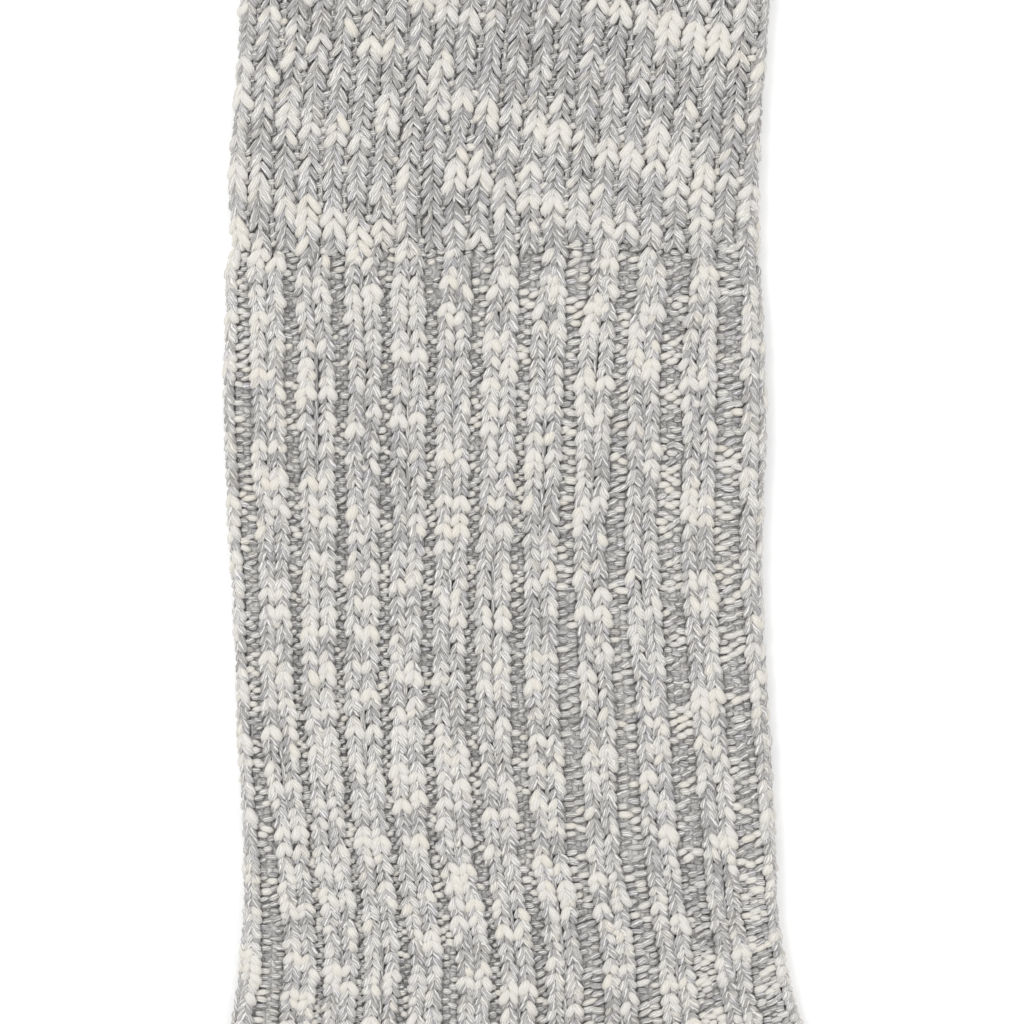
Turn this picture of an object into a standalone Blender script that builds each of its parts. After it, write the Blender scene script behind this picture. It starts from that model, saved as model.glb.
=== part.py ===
"""A ribbed crew sock, knitted as one tube and laid flat on its side.

The leg runs along Y with the cuff at +Y, the toe points to +X and -Y, and the flat
underside lies at z = 0. Plan points are (x, y) in metres, with x = 0 near the middle of
the leg and y = 0 at the seam between cuff and leg, and the finished sock is centred on
the origin at the end. A course is one knitted row across the flat tube, from the back
edge (or the sole) at 0 to the front edge (or the instep) at 1, and its middle at 0.5.
"""

import math

import bmesh
import bpy
import numpy as np

MM = 0.001

# Cloth, from the surface that it lies on to its upper side.
EDGE_RADIUS = 2.4 * MM
PLAIN_HEIGHT = 2 * EDGE_RADIUS
FURROW_HEIGHT = 4.2 * MM
CREST_HEIGHT = 5.4 * MM
SHOULDER_HEIGHT = 5.0 * MM
PAIR_SHOULDER_HEIGHT = 4.7 * MM
PAIR_DIP_HEIGHT = 4.9 * MM
LOWER_WALL = 1.8 * MM
SLOT_HEIGHT = 0.7 * MM
SEAM_GAP = 0.3 * MM

# Ribs, as shares of the width of the flat tube. The laid leg is a little stretched towards
# its front edge, so its furrows lie further apart and wider there, and they drift down the leg.
LEG_FURROWS = (
    # down from the seam in mm, then each furrow from the back edge to the front edge
    (7.0, 0.034, 0.116, 0.209, 0.298, 0.384, 0.472, 0.559, 0.652, 0.745, 0.835, 0.944),
    (20.0, 0.036, 0.126, 0.216, 0.302, 0.383, 0.467, 0.552, 0.640, 0.729, 0.820, 0.932),
    (45.0, 0.037, 0.126, 0.211, 0.295, 0.377, 0.458, 0.539, 0.629, 0.726, 0.822, 0.932),
    (70.0, 0.034, 0.115, 0.194, 0.277, 0.358, 0.439, 0.527, 0.625, 0.731, 0.832, 0.942),
    (97.0, 0.052, 0.128, 0.202, 0.279, 0.354, 0.441, 0.527, 0.623, 0.730, 0.835, 0.951),
    (117.0, 0.074, 0.152, 0.228, 0.303, 0.394, 0.484, 0.562, 0.650, 0.757, 0.857, 0.960),
)
WALE_WIDTH = 0.0337
SHOULDER = 0.93
CUFF_WALES = 22
CUFF_RIBS = (
    # down from the seam in mm, the first wale, the pitch of the wales
    (-52.0, 0.0185, 0.0471),
    (-24.0, 0.0100, 0.0471),
    (-10.0, 0.0110, 0.0463),
    (0.0, 0.0075, 0.0462),
)
CUFF_FURROW = 0.2

# Cuff and leg. The edges bulge and narrow by a few millimetres, as hand-laid cloth does.
CUFF_HEIGHT = 52 * MM
BEND_TOP = 100 * MM
HEEL_BACK_DOWN = 141 * MM
LEG_OUTLINE = (
    # down from the seam, back edge, front edge, in mm
    (-52.0, -43.4, 41.6),
    (-39.0, -43.6, 41.3),
    (-26.0, -44.3, 40.2),
    (-13.0, -45.3, 39.7),
    (0.0, -45.4, 39.5),
    (10.0, -45.8, 40.1),
    (32.0, -46.0, 40.6),
    (46.0, -45.2, 40.0),
    (60.0, -44.5, 40.2),
    (79.0, -43.8, 41.3),
    (100.0, -42.8, 42.3),
    (112.0, -43.3, 42.3),
    (124.0, -44.9, 42.3),
    (141.0, -49.5, 42.3),
)

# Ankle and foot.
FOOT_SLOPE = math.radians(35)
BEND_RADIUS = 73 * MM
ANKLE_MIDDLE = np.array((4.5, -152.0)) * MM
INSTEP_WIDTH = 42 * MM
SOLE_WIDTH = 46 * MM
FOOT_TAPER = 0.94
FOOT_STRAIGHT = 67 * MM
HEEL_REACH = 116 * MM
TOE_LENGTH = 50 * MM
TOE_FULLNESS = 2.3

# How finely the solids follow those sizes.
CUFF_COURSES = 7
LEG_COURSES = 14
ANKLE_COURSES = 9
FOOT_COURSES = 6
HEEL_COURSES = 19
TOE_COURSES = 13
EDGE_STEPS = 6
PLAIN_STEPS = 14
HEEL_STEPS = 8
EDGE_SHARE = 0.05
FLAT_SHARES = (0.07, 0.93)
MIDDLE_SHARE = 0.5
SOLE_SHARES = (0.07, 0.49)
TANGENT_STEP = 0.05
TIP_LEFT = 0.6 * MM
SHARP_ANGLE = math.radians(60)

YARN_COLOUR = (0.60, 0.60, 0.60, 1.0)
YARN_ROUGHNESS = 0.95

# Directions that the foot gives.
FOOT_ALONG = np.array((math.cos(FOOT_SLOPE), -math.sin(FOOT_SLOPE)))
FOOT_UP = np.array((math.sin(FOOT_SLOPE), math.cos(FOOT_SLOPE)))
FOOT_TURN = math.radians(90) - FOOT_SLOPE
ANKLE_ALONG = np.array((math.sin(FOOT_TURN / 2), -math.cos(FOOT_TURN / 2)))


def hermite(start, start_way, end, end_way, share):
    """A point on the cubic from start to end that leaves and arrives along the two ways."""
    a = 2 * share**3 - 3 * share**2 + 1
    b = share**3 - 2 * share**2 + share
    c = -2 * share**3 + 3 * share**2
    d = share**3 - share**2
    return a * start + b * start_way + c * end + d * end_way


def leg_edges(down):
    """x of the back edge and of the front edge, smooth between the rows of LEG_OUTLINE."""
    rows = np.array(LEG_OUTLINE) * MM
    slopes = np.gradient(rows[:, 1:], rows[:, 0], axis=0)
    row = int(np.clip(np.searchsorted(rows[:, 0], down) - 1, 0, len(rows) - 2))
    step = rows[row + 1, 0] - rows[row, 0]
    share = (down - rows[row, 0]) / step
    return hermite(
        rows[row, 1:], slopes[row] * step, rows[row + 1, 1:], slopes[row + 1] * step, share
    )


def bend_front(turn):
    """The front edge where it turns from the leg to the foot."""
    centre = np.array((leg_edges(BEND_TOP)[1] + BEND_RADIUS, -BEND_TOP))
    return centre - BEND_RADIUS * np.array((math.cos(turn), math.sin(turn)))


def leg_course(down):
    """Back, middle and front of a straight course of the cuff or leg."""
    back, front = leg_edges(down)
    return np.array(((back, -down), ((back + front) / 2, -down), (front, -down)))


def ankle_course(share):
    """A course from the foot of the leg, at 0, to the top of the heel, at 1."""
    down = BEND_TOP + share * (HEEL_BACK_DOWN - BEND_TOP)
    top = leg_course(BEND_TOP)[1]
    reach = float(np.linalg.norm(ANKLE_MIDDLE - top))
    down_way = np.array((0.0, -reach))
    middle = hermite(top, down_way, ANKLE_MIDDLE, ANKLE_ALONG * reach, share)
    return np.array(((leg_edges(down)[0], -down), middle, bend_front(share * FOOT_TURN / 2)))


def foot_frame(along):
    """Sole, middle and instep of the straight foot, at a distance past the bend."""
    taper = 1 + (FOOT_TAPER - 1) * min(along / FOOT_STRAIGHT, 1.0)
    instep = bend_front(FOOT_TURN) + along * FOOT_ALONG
    middle = instep - INSTEP_WIDTH * FOOT_UP
    return np.array(
        (
            middle - SOLE_WIDTH * taper * FOOT_UP,
            middle,
            middle + INSTEP_WIDTH * taper * FOOT_UP,
        )
    )


def heel_sole():
    """Where the heel meets the sole edge."""
    return ANKLE_MIDDLE - SOLE_WIDTH * FOOT_UP


def bend_course(share):
    """A course of the foot from the end of the heel, at 0, to the straight foot, at 1."""
    sole_end, middle_end, _ = foot_frame(0.0)
    reach = float(np.linalg.norm(middle_end - ANKLE_MIDDLE))
    middle = hermite(ANKLE_MIDDLE, ANKLE_ALONG * reach, middle_end, FOOT_ALONG * reach, share)
    sole_way = (ANKLE_ALONG + 2 * FOOT_ALONG) / 3 * reach
    sole = hermite(heel_sole(), sole_way, sole_end, FOOT_ALONG * reach, share)
    return np.array((sole, middle, bend_front((1 + share) * FOOT_TURN / 2)))


def toe_course(along):
    """A course of the toe, whose outline closes in at TOE_LENGTH."""
    sole, middle, instep = foot_frame(FOOT_STRAIGHT + along)
    narrow = max(1 - (along / TOE_LENGTH) ** TOE_FULLNESS, 0.0) ** (1 / TOE_FULLNESS)
    centre = middle + (FOOT_TAPER * (INSTEP_WIDTH - SOLE_WIDTH) / 2) * FOOT_UP
    return np.array([centre + narrow * (point - centre) for point in (sole, middle, instep)])


def across(course, share):
    """The plan point at a share of the width of a course."""
    back, middle, front = course
    if share < MIDDLE_SHARE:
        return middle + (1 - 2 * share) * (back - middle)
    return middle + (2 * share - 1) * (front - middle)


def furrows_at(down):
    """Shares of the width where the furrows of the leg lie, at a distance down from the seam."""
    rows = np.array(LEG_FURROWS)
    return [float(np.interp(down, rows[:, 0] * MM, column)) for column in rows[:, 1:].T]


def leg_ribs(down, start=0.0):
    """(share, height) of the upper side of a 2x2 rib, between the two edges."""
    furrows = furrows_at(down)
    points = [(furrows[0], FURROW_HEIGHT)]
    for furrow, following in zip(furrows, furrows[1:]):
        centre = (furrow + following) / 2
        points += [
            (centre - SHOULDER * WALE_WIDTH, PAIR_SHOULDER_HEIGHT),
            (centre - 0.5 * WALE_WIDTH, CREST_HEIGHT),
            (centre, PAIR_DIP_HEIGHT),
            (centre + 0.5 * WALE_WIDTH, CREST_HEIGHT),
            (centre + SHOULDER * WALE_WIDTH, PAIR_SHOULDER_HEIGHT),
            (following, FURROW_HEIGHT),
        ]
    return [point for point in points if point[0] > start]


def cuff_ribs_at(down):
    """The first wale of the cuff and the pitch of its wales, at a distance down from the seam."""
    rows = np.array(CUFF_RIBS)
    return [float(np.interp(down, rows[:, 0] * MM, column)) for column in rows[:, 1:].T]


def cuff_ribs(down):
    """(share, height) of the upper side of a 1x1 rib, whose wales lean forwards on the way up."""
    first, pitch = cuff_ribs_at(down)
    middle_first, middle_pitch = cuff_ribs_at(-CUFF_HEIGHT / 2)
    points = []
    for wale in range(CUFF_WALES):
        for offset, height in (
            (CUFF_FURROW - 0.5, SHOULDER_HEIGHT),
            (0.0, CREST_HEIGHT),
            (0.5 - CUFF_FURROW, SHOULDER_HEIGHT),
            (0.5, FURROW_HEIGHT),
        ):
            half_way = middle_first + (wale + offset) * middle_pitch
            if EDGE_SHARE < half_way < 1 - EDGE_SHARE:
                points.append((first + (wale + offset) * pitch, height))
    return points


def plain_top(start, end, steps):
    """(share, height) of a plain upper side."""
    return [(share, PLAIN_HEIGHT) for share in np.linspace(start, end, steps)]


def edge_arc(radius, course, front):
    """(share, height) round one edge of the flat tube, from its upper side to its underside."""
    half = float(np.linalg.norm(course[2 if front else 0] - course[1]))
    points = []
    for step in range(EDGE_STEPS + 1):
        angle = math.pi * step / EDGE_STEPS
        share = radius * (1 - math.sin(angle)) / (2 * half)
        points.append((1 - share if front else share, EDGE_RADIUS + radius * math.cos(angle)))
    return points


def outer_loop(course, top):
    """Points round the outside of one course: upper side, front edge, flat underside, back edge."""
    under = [(share, 0.0) for share in np.linspace(*FLAT_SHARES[::-1], PLAIN_STEPS)]
    ring = top + edge_arc(EDGE_RADIUS, course, True) + under
    ring += edge_arc(EDGE_RADIUS, course, False)[::-1]
    return [(*across(course, share), height) for share, height in ring]


def inner_loop(course):
    """Points round the thin space between the two layers of one course."""
    middle = LOWER_WALL + SLOT_HEIGHT / 2
    half_slot = SLOT_HEIGHT / 2
    back_share = LOWER_WALL / (2 * float(np.linalg.norm(course[0] - course[1])))
    front_share = 1 - LOWER_WALL / (2 * float(np.linalg.norm(course[2] - course[1])))
    shares = np.linspace(*FLAT_SHARES, PLAIN_STEPS)
    ring = [(share, middle + half_slot) for share in shares]
    ring += [(front_share, middle)]
    ring += [(share, middle - half_slot) for share in shares[::-1]]
    ring += [(back_share, middle)]
    return [(*across(course, share), height) for share, height in ring]


def new_material(name):
    material = bpy.data.materials.new(name)
    material.use_nodes = True
    shader = material.node_tree.nodes["Principled BSDF"]
    shader.inputs["Base Color"].default_value = YARN_COLOUR
    shader.inputs["Roughness"].default_value = YARN_ROUGHNESS
    shader.inputs["Metallic"].default_value = 0.0
    return material


def add_ring(mesh, points):
    return [mesh.verts.new(point) for point in points]


def join_rings(mesh, first, second):
    """Four-sided faces between two closed rings of as many points."""
    count = len(first)
    for here in range(count):
        after = (here + 1) % count
        mesh.faces.new((first[here], first[after], second[after], second[here]))


def ring_shares(ring):
    """How far along its ring each point lies, from 0 to 1."""
    places = np.array([vert.co for vert in ring])
    steps = np.linalg.norm(np.roll(places, -1, axis=0) - places, axis=1)
    return np.concatenate(((0.0,), np.cumsum(steps))) / steps.sum()


def zip_rings(mesh, first, second):
    """Triangles between two closed rings that start side by side and differ in count."""
    first_shares = ring_shares(first)
    second_shares = ring_shares(second)
    a = 0
    b = 0
    while a < len(first) or b < len(second):
        here = first[a % len(first)]
        there = second[b % len(second)]
        step_first = b == len(second) or (
            a < len(first) and first_shares[a + 1] <= second_shares[b + 1]
        )
        if step_first:
            a += 1
            mesh.faces.new((here, first[a % len(first)], there))
        else:
            b += 1
            mesh.faces.new((here, second[b % len(second)], there))


def finish(name, mesh):
    """Turns a bmesh into a named object with its own material."""
    bmesh.ops.recalc_face_normals(mesh, faces=mesh.faces)
    data = bpy.data.meshes.new(name)
    mesh.to_mesh(data)
    mesh.free()
    data.shade_smooth()
    data.set_sharp_from_angle(angle=SHARP_ANGLE)
    data.materials.append(new_material(name + "_yarn"))
    piece = bpy.data.objects.new(name, data)
    bpy.context.collection.objects.link(piece)
    return piece


def build_tube(name, courses, tops):
    """An open flat tube through its courses, each with its own upper side."""
    mesh = bmesh.new()
    outer = [add_ring(mesh, outer_loop(course, top)) for course, top in zip(courses, tops)]
    inner = [add_ring(mesh, inner_loop(course)) for course in courses]
    for rings in (outer, inner):
        for first, second in zip(rings, rings[1:]):
            join_rings(mesh, first, second)
    zip_rings(mesh, outer[0], inner[0])
    zip_rings(mesh, outer[-1], inner[-1])
    return finish(name, mesh)


def build_cuff():
    downs = np.linspace(-CUFF_HEIGHT, -SEAM_GAP / 2, CUFF_COURSES)
    courses = [leg_course(down) for down in downs]
    return build_tube("cuff", courses, [cuff_ribs(down) for down in downs])


def build_leg():
    downs = np.linspace(SEAM_GAP / 2, BEND_TOP, LEG_COURSES)
    courses = [leg_course(down) for down in downs]
    shares = np.linspace(0, 1, ANKLE_COURSES)[1:]
    courses += [ankle_course(share) for share in shares]
    courses[-1] = pulled_back(courses[-1], -ANKLE_ALONG)
    return build_tube("leg", courses, [leg_ribs(-middle[1]) for _, middle, _ in courses])


def pulled_back(course, way):
    """The course moved off a seam: all the gap beside the heel, half of it at the instep."""
    back, middle, front = course
    return np.array((back + SEAM_GAP * way, middle + SEAM_GAP * way, front + SEAM_GAP / 2 * way))


def build_foot():
    courses = [bend_course(share) for share in np.linspace(0, 1, ANKLE_COURSES)]
    courses[0] = pulled_back(courses[0], ANKLE_ALONG)
    alongs = np.linspace(0, FOOT_STRAIGHT - SEAM_GAP / 2, FOOT_COURSES)[1:]
    courses += [foot_frame(along) for along in alongs]
    ribs = leg_ribs(HEEL_BACK_DOWN, start=MIDDLE_SHARE)
    top = plain_top(*SOLE_SHARES, PLAIN_STEPS // 2) + ribs
    return build_tube("foot", courses, [top] * len(courses))


def heel_edge(share):
    """The outline of the heel, from the back of the leg round to the sole."""
    start = ankle_course(1.0)[0]
    above = ankle_course(1.0 - TANGENT_STEP)[0]
    start_way = (start - above) / np.linalg.norm(start - above)
    end_way = bend_course(TANGENT_STEP)[0] - bend_course(0.0)[0]
    end_way = end_way / np.linalg.norm(end_way)
    return hermite(start, start_way * HEEL_REACH, heel_sole(), end_way * HEEL_REACH, share)


def heel_path(edge, radius, low, high):
    """A folded strip of points from the ankle's middle round the heel's edge and back."""
    way = edge - ANKLE_MIDDLE
    length = float(np.linalg.norm(way))
    reaches = np.linspace(SEAM_GAP, length - 2 * EDGE_RADIUS, HEEL_STEPS)
    centre = (low + high) / 2
    path = [(reach, high) for reach in reaches]
    for step in range(EDGE_STEPS + 1):
        angle = math.pi * step / EDGE_STEPS
        reach = length - EDGE_RADIUS + radius * math.sin(angle)
        path.append((reach, centre + (high - centre) * math.cos(angle)))
    path += [(reach, low) for reach in reaches[::-1]]
    return [(*(ANKLE_MIDDLE + reach / length * way), height) for reach, height in path]


def build_heel():
    """The heel pocket: a wedge of two layers, folded round the back edge."""
    mesh = bmesh.new()
    rings = []
    slot_low = LOWER_WALL
    slot_high = LOWER_WALL + SLOT_HEIGHT
    for share in np.linspace(0, 1, HEEL_COURSES):
        edge = heel_edge(share)
        outer = heel_path(edge, EDGE_RADIUS, 0.0, PLAIN_HEIGHT)
        inner = heel_path(edge, EDGE_RADIUS - LOWER_WALL, slot_low, slot_high)
        rings.append(add_ring(mesh, outer + inner[::-1]))
    for first, second in zip(rings, rings[1:]):
        join_rings(mesh, first, second)
    half = len(rings[0]) // 2
    for ring in (rings[0], rings[-1]):
        for here in range(half - 1):
            mesh.faces.new((ring[here], ring[here + 1], ring[-2 - here], ring[-1 - here]))
    return finish("heel", mesh)


def build_toe():
    """The toe pocket, closed at its tip."""
    mesh = bmesh.new()
    top = plain_top(*FLAT_SHARES, PLAIN_STEPS)
    shares = np.sin(np.linspace(0, math.pi / 2, TOE_COURSES))
    outer_alongs = SEAM_GAP / 2 + shares * (TOE_LENGTH - SEAM_GAP / 2 - TIP_LEFT)
    outer = []
    for along in outer_alongs:
        outer.append(add_ring(mesh, toe_loop(outer_loop(toe_course(along), top), along)))
    inner_end = TOE_LENGTH - LOWER_WALL - TIP_LEFT
    inner = []
    for along in outer_alongs[0] + shares * (inner_end - outer_alongs[0]):
        inner.append(add_ring(mesh, inner_loop(toe_course(along))))
    for rings in (outer, inner):
        for first, second in zip(rings, rings[1:]):
            join_rings(mesh, first, second)
    zip_rings(mesh, outer[0], inner[0])
    mesh.faces.new(outer[-1])
    mesh.faces.new(inner[-1])
    return finish("toe", mesh)


def toe_loop(points, along):
    """The loop with its height rounded off close to the tip."""
    left = min((TOE_LENGTH - along) / EDGE_RADIUS, 1.0)
    full = math.sqrt(1 - (1 - left) ** 2)
    return [(x, y, EDGE_RADIUS + full * (z - EDGE_RADIUS)) for x, y, z in points]


def centre(pieces):
    """Moves all the points so that the sock is centred over the origin."""
    places = np.array([vert.co for piece in pieces for vert in piece.data.vertices])
    middle = (places.min(axis=0) + places.max(axis=0)) / 2
    for piece in pieces:
        for vert in piece.data.vertices:
            vert.co.x -= middle[0]
            vert.co.y -= middle[1]


def main():
    for old in list(bpy.data.objects):
        bpy.data.objects.remove(old, do_unlink=True)
    centre([build_cuff(), build_leg(), build_heel(), build_foot(), build_toe()])


main()
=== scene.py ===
"""The looks of a ribbed crew sock in marled slub yarn, laid flat on its side.

Every stitch is a pair of short yarn lengths laid on thin cloth shells, which stand for the
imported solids. Plan points are (x, y) with x = 0 near the middle of the leg and y = 0 at the
seam between cuff and leg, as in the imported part, and PLAN_SHIFT takes them to its frame.
A row is one knitted course, counted from the top of its panel, and a reach is a distance
out along a row from the panel's inner line, measured over the cloth and round its edge.
"""

import math
from collections import namedtuple

import bpy
import numpy as np
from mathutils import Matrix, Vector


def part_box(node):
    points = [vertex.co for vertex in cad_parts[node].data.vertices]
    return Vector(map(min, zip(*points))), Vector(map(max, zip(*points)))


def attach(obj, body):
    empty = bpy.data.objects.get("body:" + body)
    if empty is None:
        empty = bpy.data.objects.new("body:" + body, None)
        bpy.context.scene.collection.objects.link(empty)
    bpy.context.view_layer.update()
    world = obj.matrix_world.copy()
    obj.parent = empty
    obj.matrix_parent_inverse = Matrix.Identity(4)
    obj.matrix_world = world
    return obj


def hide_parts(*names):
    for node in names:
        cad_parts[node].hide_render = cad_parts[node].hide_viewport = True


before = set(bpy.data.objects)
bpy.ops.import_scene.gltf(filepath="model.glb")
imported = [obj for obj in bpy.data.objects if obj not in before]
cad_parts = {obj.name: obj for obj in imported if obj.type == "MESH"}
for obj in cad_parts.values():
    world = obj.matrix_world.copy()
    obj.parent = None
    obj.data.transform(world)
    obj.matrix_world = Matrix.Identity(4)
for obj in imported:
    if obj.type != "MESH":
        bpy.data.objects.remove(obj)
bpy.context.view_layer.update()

MM = 0.001
BODY = "root"

# Plan of the sock, with the sizes that its solids have.
CUFF_HEIGHT = 52 * MM
BEND_TOP = 100 * MM
HEEL_BACK_DOWN = 141 * MM
LEG_OUTLINE = (
    # down from the seam, back edge, front edge, in mm
    (-52.0, -43.4, 41.6),
    (-39.0, -43.6, 41.3),
    (-26.0, -44.3, 40.2),
    (-13.0, -45.3, 39.7),
    (0.0, -45.4, 39.5),
    (10.0, -45.8, 40.1),
    (32.0, -46.0, 40.6),
    (46.0, -45.2, 40.0),
    (60.0, -44.5, 40.2),
    (79.0, -43.8, 41.3),
    (100.0, -42.8, 42.3),
    (112.0, -43.3, 42.3),
    (124.0, -44.9, 42.3),
    (141.0, -49.5, 42.3),
)
SEAM_NOTCH = (
    # down from the seam, how far the back edge draws in there, in mm
    (-7.0, 0.0),
    (-2.5, 0.45),
    (-0.8, 0.95),
    (0.8, 0.70),
    (2.0, 0.10),
    (3.5, -0.35),
    (6.0, -0.25),
    (10.0, 0.0),
)
FOOT_SLOPE = math.radians(35)
BEND_RADIUS = 73 * MM
ANKLE_MIDDLE = np.array((4.5, -152.0)) * MM
INSTEP_WIDTH = 42 * MM
SOLE_WIDTH = 46 * MM
FOOT_TAPER = 0.94
FOOT_STRAIGHT = 67 * MM
HEEL_REACH = 116 * MM
TOE_LENGTH = 50 * MM
TOE_FULLNESS = 2.3
TANGENT_STEP = 0.05
OUTLINE_STEPS = 200
FOOT_ALONG = np.array((math.cos(FOOT_SLOPE), -math.sin(FOOT_SLOPE)))
FOOT_UP = np.array((math.sin(FOOT_SLOPE), math.cos(FOOT_SLOPE)))
FOOT_TURN = math.radians(90) - FOOT_SLOPE
ANKLE_ALONG = np.array((math.sin(FOOT_TURN / 2), -math.cos(FOOT_TURN / 2)))
CUFF_TOP_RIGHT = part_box("cuff")[1]
PLAN_SHIFT = np.array((CUFF_TOP_RIGHT.x - LEG_OUTLINE[0][2] * MM, CUFF_TOP_RIGHT.y - CUFF_HEIGHT))

# The cloth across: a flat tube whose edges turn round an arc. A place seen from above is
# followed round it as far out as EDGE_SEEN, and yarn lies closer to it by EDGE_TIGHTER.
EDGE_RADIUS = 2.4 * MM
EDGE_INSET = 2.7 * MM
EDGE_SEEN = 0.46
EDGE_TIGHTER = 0.6
YARN_LINE = 1.9 * MM
YARN_RADIUS = 0.55 * MM
SLUB_RADIUS = 0.74 * MM
BUMP_RADIUS = 0.45 * MM
KNIT_LIFT = 0.42 * MM
PURL_LIFT = -0.22 * MM
SHELL_LIFT = -0.50 * MM
FLOOR_CLEAR = 0.06 * MM
LOWER_WALL = 1.8 * MM
SLOT_HEIGHT = 0.7 * MM

# Rows and ribs. A share is one of the sock's width, from its back edge to its front edge.
CUFF_ROWS = 37
LEG_ROWS = 68
CUFF_PITCH = CUFF_HEIGHT / CUFF_ROWS
LEG_PITCH = BEND_TOP / LEG_ROWS
ANKLE_ROWS = 37
BEND_ROWS = 40
FOOT_ROWS = 43
HEEL_ROWS = 48
TOE_ROWS = 82
PLAIN_WALES = 20
CUFF_WALES = 22
CUFF_RIBS = (
    # down from the seam in mm, the first wale, the pitch of the wales
    (-52.0, 0.0185, 0.0471),
    (-24.0, 0.0100, 0.0471),
    (-10.0, 0.0110, 0.0463),
    (0.0, 0.0075, 0.0462),
)
CUFF_TILT = 3.6
LEG_FURROWS = (
    # down from the seam in mm, then each furrow from the back edge to the front edge
    (7.0, 0.034, 0.116, 0.209, 0.298, 0.384, 0.472, 0.559, 0.652, 0.745, 0.835, 0.944),
    (20.0, 0.036, 0.126, 0.216, 0.302, 0.383, 0.467, 0.552, 0.640, 0.729, 0.820, 0.932),
    (45.0, 0.037, 0.126, 0.211, 0.295, 0.377, 0.458, 0.539, 0.629, 0.726, 0.822, 0.932),
    (70.0, 0.034, 0.115, 0.194, 0.277, 0.358, 0.439, 0.527, 0.625, 0.731, 0.832, 0.942),
    (97.0, 0.052, 0.128, 0.202, 0.279, 0.354, 0.441, 0.527, 0.623, 0.730, 0.835, 0.951),
    (117.0, 0.074, 0.152, 0.228, 0.303, 0.394, 0.484, 0.562, 0.650, 0.757, 0.857, 0.960),
)
WALE_SHARE = 0.0322
BACK_FURROW_HALVES = (
    # down from the seam in mm, half the width of the furrow by the back edge
    (0.0, 0.0165),
    (45.0, 0.0165),
    (70.0, 0.0150),
    (97.0, 0.0260),
    (117.0, 0.0370),
)
FRONT_FURROW_HALF = 0.0246
INSTEP_SHARE = 0.49
FADE_ROWS = 9.0

# The heel and toe pockets: how far their gore line runs towards their outline.
HEEL_GORE = 0.74
TOE_GORE = 0.70
GORE_SLIT = 0.03 * MM


def unit(way):
    return way / np.linalg.norm(way)


def hermite(start, start_way, end, end_way, share):
    """A point on the cubic from start to end, with a way along it at each end."""
    a = 2 * share**3 - 3 * share**2 + 1
    b = share**3 - 2 * share**2 + share
    c = -2 * share**3 + 3 * share**2
    d = share**3 - share**2
    return a * start + b * start_way + c * end + d * end_way


def table_at(table, column, downs):
    """One column of a table, by its first column: mm down from the seam."""
    rows = np.array(table)
    return np.interp(downs, rows[:, 0] * MM, rows[:, column])


def leg_edges(down):
    """x of the back and front edges, smooth between the rows of LEG_OUTLINE."""
    rows = np.array(LEG_OUTLINE) * MM
    slopes = np.gradient(rows[:, 1:], rows[:, 0], axis=0)
    row = int(np.clip(np.searchsorted(rows[:, 0], down) - 1, 0, len(rows) - 2))
    step = rows[row + 1, 0] - rows[row, 0]
    share = (down - rows[row, 0]) / step
    ways = slopes * step
    edges = hermite(rows[row, 1:], ways[row], rows[row + 1, 1:], ways[row + 1], share)
    return edges + np.array((table_at(SEAM_NOTCH, 1, down) * MM, 0.0))


def bend_front(turn):
    """The front edge where it turns from the leg to the foot."""
    centre = np.array((leg_edges(BEND_TOP)[1] + BEND_RADIUS, -BEND_TOP))
    return centre - BEND_RADIUS * np.array((math.cos(turn), math.sin(turn)))


def leg_course(down):
    """Back, middle and front of a straight course of the cuff or leg."""
    back, front = leg_edges(down)
    return np.array(((back, -down), ((back + front) / 2, -down), (front, -down)))


def ankle_course(share):
    """A course from the foot of the leg, at 0, to the top of the heel, at 1."""
    down = BEND_TOP + share * (HEEL_BACK_DOWN - BEND_TOP)
    top = leg_course(BEND_TOP)[1]
    reach = float(np.linalg.norm(ANKLE_MIDDLE - top))
    down_way = np.array((0.0, -reach))
    middle = hermite(top, down_way, ANKLE_MIDDLE, ANKLE_ALONG * reach, share)
    return np.array(((leg_edges(down)[0], -down), middle, bend_front(share * FOOT_TURN / 2)))


def foot_frame(along):
    """Sole, middle and instep of the straight foot, at a distance past the bend."""
    taper = 1 + (FOOT_TAPER - 1) * min(along / FOOT_STRAIGHT, 1.0)
    instep = bend_front(FOOT_TURN) + along * FOOT_ALONG
    middle = instep - INSTEP_WIDTH * FOOT_UP
    sole = middle - SOLE_WIDTH * taper * FOOT_UP
    return np.array((sole, middle, middle + INSTEP_WIDTH * taper * FOOT_UP))


def heel_sole():
    """Where the heel meets the sole edge."""
    return ANKLE_MIDDLE - SOLE_WIDTH * FOOT_UP


def bend_course(share):
    """A course of the foot from the end of the heel, at 0, to the straight foot, at 1."""
    sole_end, middle_end, _ = foot_frame(0.0)
    reach = float(np.linalg.norm(middle_end - ANKLE_MIDDLE))
    middle = hermite(ANKLE_MIDDLE, ANKLE_ALONG * reach, middle_end, FOOT_ALONG * reach, share)
    sole_way = (ANKLE_ALONG + 2 * FOOT_ALONG) / 3 * reach
    sole = hermite(heel_sole(), sole_way, sole_end, FOOT_ALONG * reach, share)
    return np.array((sole, middle, bend_front((1 + share) * FOOT_TURN / 2)))


def toe_course(along):
    """A course of the toe, whose outline closes in at TOE_LENGTH."""
    sole, middle, instep = foot_frame(FOOT_STRAIGHT + along)
    narrow = max(1 - (along / TOE_LENGTH) ** TOE_FULLNESS, 0.0) ** (1 / TOE_FULLNESS)
    centre = middle + (FOOT_TAPER * (INSTEP_WIDTH - SOLE_WIDTH) / 2) * FOOT_UP
    return np.array([centre + narrow * (point - centre) for point in (sole, middle, instep)])


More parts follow.
